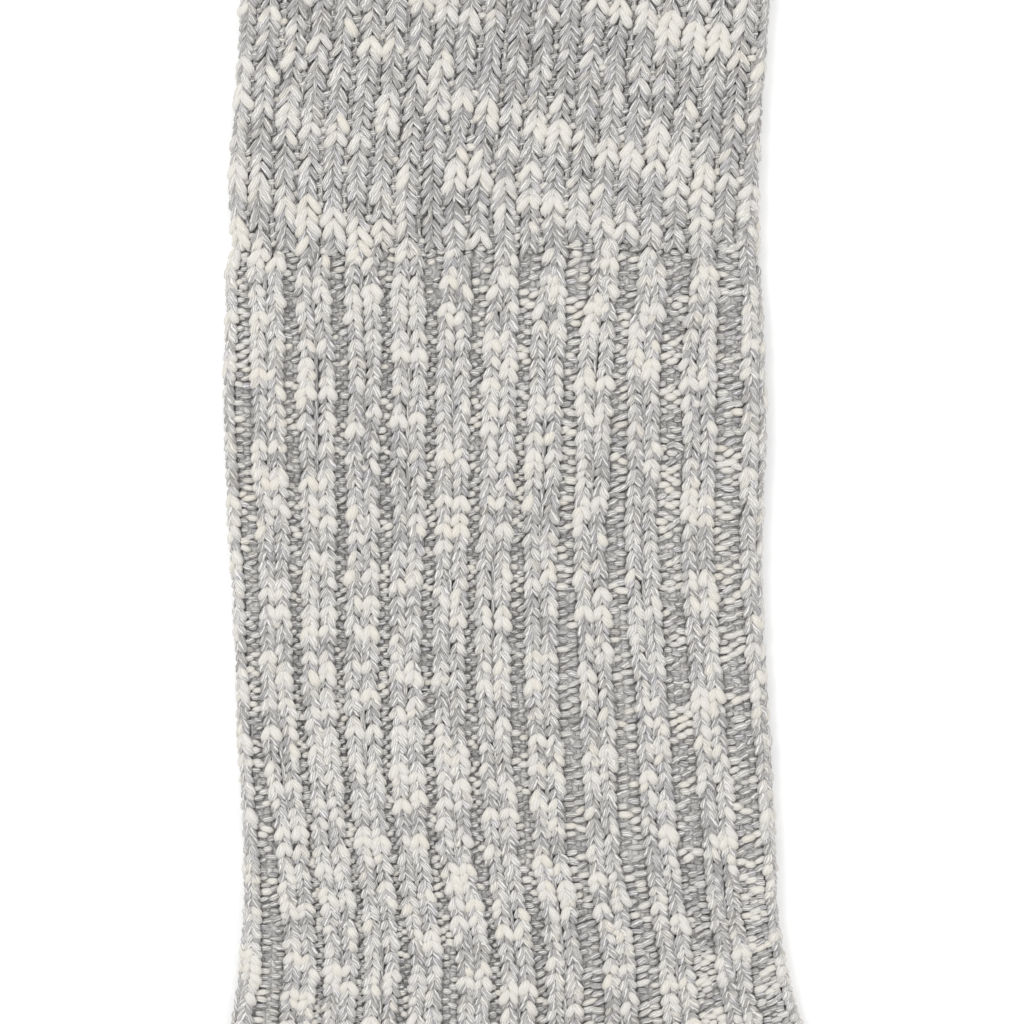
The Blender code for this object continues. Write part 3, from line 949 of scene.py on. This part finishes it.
RIM_PATH = (
    # rows down from the rim, lift in mm, radius share
    (0.75, -0.15, 0.60),
    (0.20, 0.30, 1.00),
    (-0.30, -0.30, 1.05),
    (-0.20, -1.10, 0.80),
)
RIM_PITCH = 1.9 * MM
RIM_SLANT = 0.5 * MM
RIM_STRAY = 0.1 * MM
RIM_SEED = 15
LINK_PATH = (
    # rows along the foot, lift in mm, radius share
    (-1.00, -0.30, 0.50),
    (-0.35, 0.35, 1.00),
    (0.35, 0.35, 1.00),
    (1.00, -0.30, 0.50),
)
LINK_PITCH = 1.5 * MM
LINK_SLANT = 0.45 * MM
LINK_OVER_EDGE = 0.8
LINK_SEED = 55
# A loop's path, how far it strays in rows, its lift, its radius, and how far slubs swell it.
RIM_LOOP = (RIM_PATH, 0.10, 0.0, YARN_RADIUS, 0.1 * MM)
LINK_LOOP = (LINK_PATH, 0.08, KNIT_LIFT, 0.9 * YARN_RADIUS, 0.0)
LOOP_SLUB_ODDS = 0.3
LOOP_TONE = 0.7


def lay_loops(yarn, panel, row, reach, slant, loop, random):
    """A loop of yarn at each reach, over the rim or along the linked seam."""
    path, stray, lift, radius, swell = loop
    down, path_lift, radius_share = np.array(path).T
    rows = row + down + stray * random.normal(0, 1, reach.shape)
    slub = smooth_step(random.normal(0, 1, reach.shape) - LOOP_SLUB_ODDS) + 0 * rows
    tone = random.normal(0, LOOP_TONE, reach.shape) + 0 * rows
    points, normals = panel.lay(rows, reach + slant * down, lift + path_lift * MM + 0 * rows)
    radii = (radius + swell * slub) * radius_share
    yarn.add(points, normals, radii, slub, tone, random.uniform(0, 1, len(reach)))


def build_rim(panels, material):
    """The loops that roll over the open top edge, all round the tube."""
    random = np.random.default_rng(RIM_SEED)
    yarn = Yarn()
    for panel, sign in zip(panels, (-1, 1)):
        end = 2 * panel.flat(0) + math.pi * EDGE_RADIUS
        reach = np.arange(RIM_PITCH / 2, end, RIM_PITCH)[:, None]
        reach = reach + RIM_STRAY * random.normal(0, 1, reach.shape)
        lay_loops(yarn, panel, 0, reach, sign * RIM_SLANT, RIM_LOOP, random)
    return yarn.build("cuff_rim", material)


def build_toe_seam(panel, material):
    """The linked seam that closes the toe, a low ridge across the instep."""
    random = np.random.default_rng(LINK_SEED)
    yarn = Yarn()
    end = panel.flat(panel.rows) + LINK_OVER_EDGE * math.pi * EDGE_RADIUS
    reach = np.arange(LINK_PITCH / 2, end, LINK_PITCH)[:, None]
    lay_loops(yarn, panel, panel.rows, reach, LINK_SLANT, LINK_LOOP, random)
    return yarn.build("toe_seam", material)


# The shells: how finely they follow the cloth, and the knitting that their skin shows.
SHELL_STEPS = 10
SHELL_ARC = 8
SHELL_ROWS = 3
SHELL_END = 0.02
SKIN_WALE = 2.3 * MM
MAP_JUMP = 100 * MM


def shell_strip(panel, row, sign):
    """Points of a row over the edge and back underneath, then those of the slot."""
    inner, way, length = panel.ends(row)
    flat = length - EDGE_INSET
    shares = np.linspace(0, 1, SHELL_STEPS + 1)[:-1]
    angles = np.linspace(0, math.pi, SHELL_ARC + 1)
    side = YARN_LINE + SHELL_LIFT
    top = EDGE_RADIUS + side
    middle = (top + FLOOR_CLEAR) / 2
    turned = flat + math.pi * EDGE_RADIUS
    reach = (shares * flat, flat + angles * EDGE_RADIUS, turned + flat * (1 - shares[::-1]))
    out = np.concatenate((shares * flat, flat + side * np.sin(angles), flat * shares[::-1]))
    height = np.concatenate((
        np.full(SHELL_STEPS, top),
        middle + (top - middle) * np.cos(angles),
        np.full(SHELL_STEPS, FLOOR_CLEAR),
    ))
    slot_out = out * (length - LOWER_WALL) / length
    slot_share = np.clip((height - middle) / (top - middle), -1, 1)
    slot_height = LOWER_WALL + SLOT_HEIGHT / 2 * (1 + slot_share)

    def strip(outs, heights):
        return np.concatenate((inner + outs[:, None] * way + PLAN_SHIFT, heights[:, None]), 1)

    return strip(out, height), strip(slot_out, slot_height), sign * np.concatenate(reach)


def shell_ring(panels, row):
    """The loops of points at one row and their reaches: skin and slot, or both as one."""
    strips = [shell_strip(panel, row, sign) for panel, sign in zip(panels, (1, -1))]
    if len(strips) == 1:
        skin, slot, reach = strips[0]
        return [np.concatenate((skin, slot[::-1]))], [np.concatenate((reach, reach[::-1]))]
    skin, slot, reach = (np.concatenate((one, other[-2:0:-1])) for one, other in zip(*strips))
    return [skin, slot], [reach, reach]


def shell_quads(steps, layers, count):
    """The faces between the loops, then both ends, as (step, layer, at)."""
    quads = []
    for layer, step, at in np.ndindex(layers, steps - 1, count):
        after = (at + 1) % count
        quad = [(step, layer, at), (step, layer, after)]
        quad += [(step + 1, layer, after), (step + 1, layer, at)]
        quads.append(quad[::-1] if layer else quad)
    for step in (0, steps - 1):
        for at in range(count if layers == 2 else count // 2 - 1):
            after = (at + 1) % count
            across = ((1, at), (1, after)) if layers == 2 else ((0, -1 - at), (0, -2 - at))
            quad = [(step, 0, at), (step, *across[0]), (step, *across[1]), (step, 0, after)]
            quads.append(quad[::-1] if step else quad)
    return quads


def build_shell(name, panels, material):
    """The thin cloth under the stitches, with the open space between its two layers."""
    rows = panels[0].rows
    index = np.linspace(SHELL_END, rows - SHELL_END, rows // SHELL_ROWS + 1)
    rings = [shell_ring(panels, row) for row in index]
    loops = np.stack([loop for loop, _ in rings])
    reaches = np.stack([reach for _, reach in rings])
    number = np.arange(reaches.size).reshape(reaches.shape)
    faces = []
    places = []
    for quad in shell_quads(*reaches.shape):
        faces.append([int(number[corner]) for corner in quad])
        first = reaches[quad[0]]
        for corner in quad:
            # Where the round of the cloth starts again, a face keeps to its first corner.
            near = reaches[corner] if abs(reaches[corner] - first) < MAP_JUMP else first
            places.append((near / SKIN_WALE, index[corner[0]]))
    piece = new_piece(name, loops.reshape(-1, 3), faces, material)
    add_map(piece, "knit", places)
    return piece


class Nodes:
    """Short calls for making and linking a material's nodes."""

    def __init__(self, name):
        self.material = bpy.data.materials.new(name)
        self.material.use_nodes = True
        self.tree = self.material.node_tree
        self.shader = self.tree.nodes["Principled BSDF"]

    def link(self, node, inputs):
        """Sets or links the inputs of a node, given by name or number."""
        for key, value in inputs.items():
            socket = node.inputs[key]
            if isinstance(value, bpy.types.NodeSocket):
                self.tree.links.new(value, socket)
            elif isinstance(value, tuple):
                socket.default_value = (*value, 1.0)
            else:
                socket.default_value = value

    def add(self, kind, inputs, output=0, **settings):
        node = self.tree.nodes.new(kind)
        for key, value in settings.items():
            setattr(node, key, value)
        self.link(node, inputs)
        return node.outputs[output]

    def math(self, operation, *values, clamp=False):
        inputs = dict(enumerate(values))
        return self.add("ShaderNodeMath", inputs, operation=operation, use_clamp=clamp)

    def scaled(self, value, by, plus=0.0, clamp=False):
        return self.math("MULTIPLY_ADD", value, by, plus, clamp=clamp)

    def hump(self, share):
        """1 in the middle of a share from 0 to 1, and 0 at both its ends."""
        centred = self.scaled(share, 2.0, -1.0)
        return self.math("SUBTRACT", 1.0, self.math("MULTIPLY", centred, centred))

    def mark(self, name):
        return self.add("ShaderNodeAttribute", {}, "Fac", attribute_name=name)

    def map_place(self, name):
        place = self.add("ShaderNodeUVMap", {}, uv_map=name)
        x = self.add("ShaderNodeSeparateXYZ", {0: place})
        return x, x.node.outputs["Y"]

    def mix(self, share, first, second, blend="MIX"):
        inputs = {"Factor": share, "A": first, "B": second}
        return self.add("ShaderNodeMix", inputs, "Result", data_type="RGBA", blend_type=blend)

    def combine(self, x, y, z=0.0):
        return self.add("ShaderNodeCombineXYZ", {"X": x, "Y": y, "Z": z})

    def chance(self, x, y=0.0):
        """An even random number for each whole place."""
        inputs = {"Vector": self.combine(x, y)}
        return self.add("ShaderNodeTexWhiteNoise", inputs, "Value", noise_dimensions="2D")

    def noise(self, x, y, z, kind):
        """A smooth random number, with its kind's rates along x and y, scale and detail."""
        x_rate, y_rate, scale, detail = kind
        place = self.combine(self.scaled(x, x_rate), self.scaled(y, y_rate), z)
        return self.add("ShaderNodeTexNoise", {"Vector": place, "Scale": scale, "Detail": detail})

    def ramp(self, value, stops):
        colour = self.add("ShaderNodeValToRGB", {"Fac": value})
        elements = colour.node.color_ramp.elements
        while len(elements) < len(stops):
            elements.new(0.5)
        for element, (place, stop) in zip(elements, stops):
            element.position = place
            element.color = (*stop, 1.0)
        return colour

    def finish(self, colour, surface, height=None, distance=0.0, strength=0.0):
        """Sets the shader's inputs and its bumps, and gives the material."""
        self.link(self.shader, {"Base Color": colour, **surface})
        if height:
            bump = {"Strength": strength, "Distance": distance, "Height": height}
            self.link(self.shader, {"Normal": self.add("ShaderNodeBump", bump)})
        return self.material


YARN_STOPS = (
    # lightness of a ply, then its colour: charcoal and grey fibre, ecru, then cream
    (0.00, (0.34, 0.335, 0.330)),
    (0.25, (0.49, 0.483, 0.475)),
    (0.50, (0.675, 0.666, 0.650)),
    (0.75, (0.86, 0.847, 0.820)),
    (1.00, (0.88, 0.866, 0.84)),
)
CREAM = (0.73, 0.71, 0.662)
# The darker cream of the painted shade between a slub's fibres.
CREAM_PAINTED_SHADE = (0.61, 0.59, 0.545)
# The colour of painted shade in gaps: between plies, between fibres and between the cloth's
# stitches.
PAINTED_GAP_SHADE = (0.258, 0.252, 0.247)
TINTS = (
    # where the odd warm and cool lengths lie, and what they do to the colour
    (0.00, (1.0, 0.975, 0.935)),
    (0.15, (1.0, 0.99, 0.97)),
    (0.35, (1.0, 1.0, 0.995)),
    (0.70, (1.0, 1.0, 1.0)),
    (1.00, (0.972, 0.968, 1.0)),
)
# The plies round a yarn, and how far they turn in a mm and stray, in plies.
PLIES = 8.0
PLY_TWIST = -0.32
PLY_STRAY = 1.6
PLY_ROUNDNESS = 0.8
# What makes a ply lighter.
OTHER_PLY_LIGHTER = 0.44
CHANCE_LIGHTER = (0.56, -0.49)
TONE_LIGHTER = 0.10
SLUB_LIGHTER = 0.45
# Rates along and round, scale and detail of each kind of noise.
PLY_WAVER = (1.3, 4.0, 1.0, 1.0)
PLY_FADE = (0.55, 3.7, 1.0, 1.0)
FIBRES = (0.7, 2.0, 2.4, 3.0)
CLOTH_SLUBS = (0.23, 0.55, 1.7, 2.0)
CLOTH_FIBRES = (5.0, 6.0, 3.0, 2.0)
# What the phase of a length of yarn is multiplied by, to draw its own numbers.
START_PHASE = 7.0
PLY_PHASE = 91.0
TINT_PHASE = 53.0
# How the painted shade between fibres and in the gaps between plies darkens a ply, and how slub
# turns it into smooth cream.
STRANDS = (2.2, -0.75)
STRAND_PAINTED_SHADE = 0.35
CREAM_GAP_PAINTED_SHADE = 0.22
SLUB_TO_CREAM = (1.5, -0.4)
SLUB_CALMER = -0.7
STREAK_HEIGHT = 0.4
YARN_BUMP = (0.13 * MM, 0.8)
YARN_SURFACE = {
    "Roughness": 0.9, "Specular IOR Level": 0.2, "Sheen Weight": 0.3, "Sheen Roughness": 0.5,
}
# The cloth's own stitches: the slant of their legs, in rows, their shades, and the painted shade
# between their fibres and in the gaps between them.
SKIN_SLANT = -1.3
SKIN_ROUNDNESS = 0.5
CLOTH_SLUBS_LIGHTER = 2.6
CLOTH_CHANCE_LIGHTER = (0.45, -0.85)
CLOTH_STRANDS = (2.4, -0.8)
CLOTH_STRAND_PAINTED_SHADE = 0.45
CLOTH_GAP_PAINTED_SHADE = 0.25
CLOTH_FIBRE_HEIGHT = 0.3
CLOTH_BUMP = (0.45 * MM, 0.9)
CLOTH_SURFACE = {"Roughness": 0.95, "Specular IOR Level": 0.2}


def yarn_material():
    """Twisted grey and white plies, with smooth cream slubs."""
    n = Nodes("marled_slub_yarn")
    along, around = n.map_place("yarn")
    slub = n.mark("slub")
    phase = n.mark("phase")
    start = n.scaled(phase, START_PHASE)
    ply = n.scaled(around, PLIES, n.scaled(along, PLY_TWIST, start))
    ply = n.scaled(n.noise(along, around, start, PLY_WAVER), PLY_STRAY, ply)
    number = n.math("FLOOR", ply)
    round_ply = n.math("POWER", n.hump(n.math("FRACT", ply)), PLY_ROUNDNESS)
    light = n.scaled(n.chance(number, n.scaled(phase, PLY_PHASE)), *CHANCE_LIGHTER)
    light = n.scaled(n.math("FLOORED_MODULO", number, 2.0), OTHER_PLY_LIGHTER, light)
    light = n.math("ADD", n.noise(along, number, start, PLY_FADE), light)
    light = n.scaled(n.mark("tone"), TONE_LIGHTER, n.scaled(slub, SLUB_LIGHTER, light))
    colour = n.ramp(light, YARN_STOPS)
    streak = n.noise(along, ply, start, FIBRES)
    strands = n.scaled(streak, *STRANDS, clamp=True)
    # Painted shade between the fibres, then in the grooves between the plies.
    colour = n.mix(strands, n.mix(STRAND_PAINTED_SHADE, colour, PAINTED_GAP_SHADE), colour)
    grey = n.mix(round_ply, PAINTED_GAP_SHADE, colour)
    # The same painted shade between the fibres and plies of the cream slubs.
    cream = n.mix(strands, CREAM_PAINTED_SHADE, CREAM)
    cream = n.mix(n.scaled(round_ply, -CREAM_GAP_PAINTED_SHADE, CREAM_GAP_PAINTED_SHADE), cream, PAINTED_GAP_SHADE)
    colour = n.mix(n.scaled(slub, *SLUB_TO_CREAM, clamp=True), grey, cream)
    tint = n.ramp(n.chance(n.scaled(phase, TINT_PHASE)), TINTS)
    height = n.scaled(round_ply, n.scaled(slub, SLUB_CALMER, 1.0), n.scaled(streak, STREAK_HEIGHT))
    return n.finish(n.mix(1.0, colour, tint, "MULTIPLY"), YARN_SURFACE, height, *YARN_BUMP)


def cloth_material():
    """The cloth behind the stitches and underneath, with small stitches of its own."""
    n = Nodes("marled_cloth")
    wale, row = n.map_place("knit")
    aside = n.math("ABSOLUTE", n.math("SUBTRACT", n.math("FRACT", wale), 0.5))
    slanted = n.scaled(aside, SKIN_SLANT, row)
    height = n.math("MULTIPLY", n.hump(n.math("FRACT", slanted)), n.hump(n.scaled(aside, 2.0)))
    height = n.math("POWER", n.math("MAXIMUM", height, 0.0), SKIN_ROUNDNESS)
    side = n.math("FLOOR", n.scaled(wale, 2.0))
    stitch = n.math("FLOOR", slanted)
    chance = n.scaled(n.chance(side, stitch), *CLOTH_CHANCE_LIGHTER)
    slubs = n.noise(side, stitch, 0.0, CLOTH_SLUBS)
    colour = n.ramp(n.scaled(slubs, CLOTH_SLUBS_LIGHTER, chance), YARN_STOPS)
    fibres = n.noise(wale, slanted, 0.0, CLOTH_FIBRES)
    strands = n.scaled(fibres, *CLOTH_STRANDS, clamp=True)
    # Painted shade between the fibres, then in the gaps between the cloth's stitches.
    colour = n.mix(strands, n.mix(CLOTH_STRAND_PAINTED_SHADE, colour, PAINTED_GAP_SHADE), colour)
    colour = n.mix(height, n.mix(CLOTH_GAP_PAINTED_SHADE, colour, PAINTED_GAP_SHADE), colour)
    height = n.scaled(fibres, CLOTH_FIBRE_HEIGHT, height)
    return n.finish(colour, CLOTH_SURFACE, height, *CLOTH_BUMP)


# The floor, the lights and the camera that looks straight down.
FLOOR_CORNERS = ((-3.0, -3.0), (3.0, -3.0), (3.0, 3.0), (-3.0, 3.0))
FLOOR_HEIGHT = -0.05 * MM
FLOOR_COLOUR = (0.96, 0.96, 0.96)
LIGHTS = (
    # name, place, width, power
    ("key", (-0.7, 0.6, 1.1), 0.8, 8.2),
    ("fill", (0.9, -0.3, 1.3), 1.4, 6.8),
)
SKY_STRENGTH = 0.91
VIEW_WIDTH = 163.84 * MM
VIEW_DOWN = 42.24 * MM
VIEW_HEIGHT = 5 * MM
VIEW_DISTANCE = 2.0


def build_floor():
    material = Nodes("pale_floor").finish(FLOOR_COLOUR, {"Roughness": 0.9})
    corners = [(*corner, FLOOR_HEIGHT) for corner in FLOOR_CORNERS]
    new_piece("floor", corners, [(0, 1, 2, 3)], material)


def build_light():
    """Round soft lights that look at the origin, under an even white sky."""
    for name, place, width, power in LIGHTS:
        data = bpy.data.lights.new(name, "AREA")
        data.shape = "DISK"
        data.size = width
        data.energy = power
        light = add_object(name, data)
        light.location = place
        light.rotation_euler = (-light.location).to_track_quat("-Z", "Y").to_euler()
    world = bpy.data.worlds.new("world")
    bpy.context.scene.world = world
    world.use_nodes = True
    background = world.node_tree.nodes["Background"]
    background.inputs["Color"].default_value = (1, 1, 1, 1)
    background.inputs["Strength"].default_value = SKY_STRENGTH
    bpy.context.scene.view_settings.view_transform = "Standard"


def camera():
    """Looks straight down on the cuff and the top of the leg."""
    data = bpy.data.cameras.new("camera")
    data.lens = data.sensor_width * VIEW_DISTANCE / VIEW_WIDTH
    item = add_object("camera", data)
    item.location = (PLAN_SHIFT[0], PLAN_SHIFT[1] - VIEW_DOWN, VIEW_DISTANCE + VIEW_HEIGHT)
    bpy.context.scene.camera = item


def dress(node, panels, cloth, stitches):
    """Lays the cloth of one node under its stitches, and rides it all on the sock."""
    shell = build_shell(node + "_cloth", panels, cloth)
    for piece in (shell, *stitches):
        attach(piece, BODY)
    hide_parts(node)


def main():
    camera()
    yarn = yarn_material()
    cloth = cloth_material()

    stitches, panels = build_cuff(yarn)
    stitches.append(build_rim(panels, yarn))
    dress("cuff", panels, cloth, stitches)

    stitches, panels = build_leg(yarn)
    dress("leg", panels, cloth, stitches)

    stitches, panels = build_foot(yarn)
    dress("foot", panels, cloth, stitches)

    heel = heel_panel()
    stitches = build_pocket("heel", heel, yarn)
    dress("heel", [heel], cloth, stitches)

    toe = toe_panel()
    stitches = build_pocket("toe", toe, yarn) + [build_toe_seam(panels[1], yarn)]
    dress("toe", [toe], cloth, stitches)

    build_floor()
    build_light()


main()
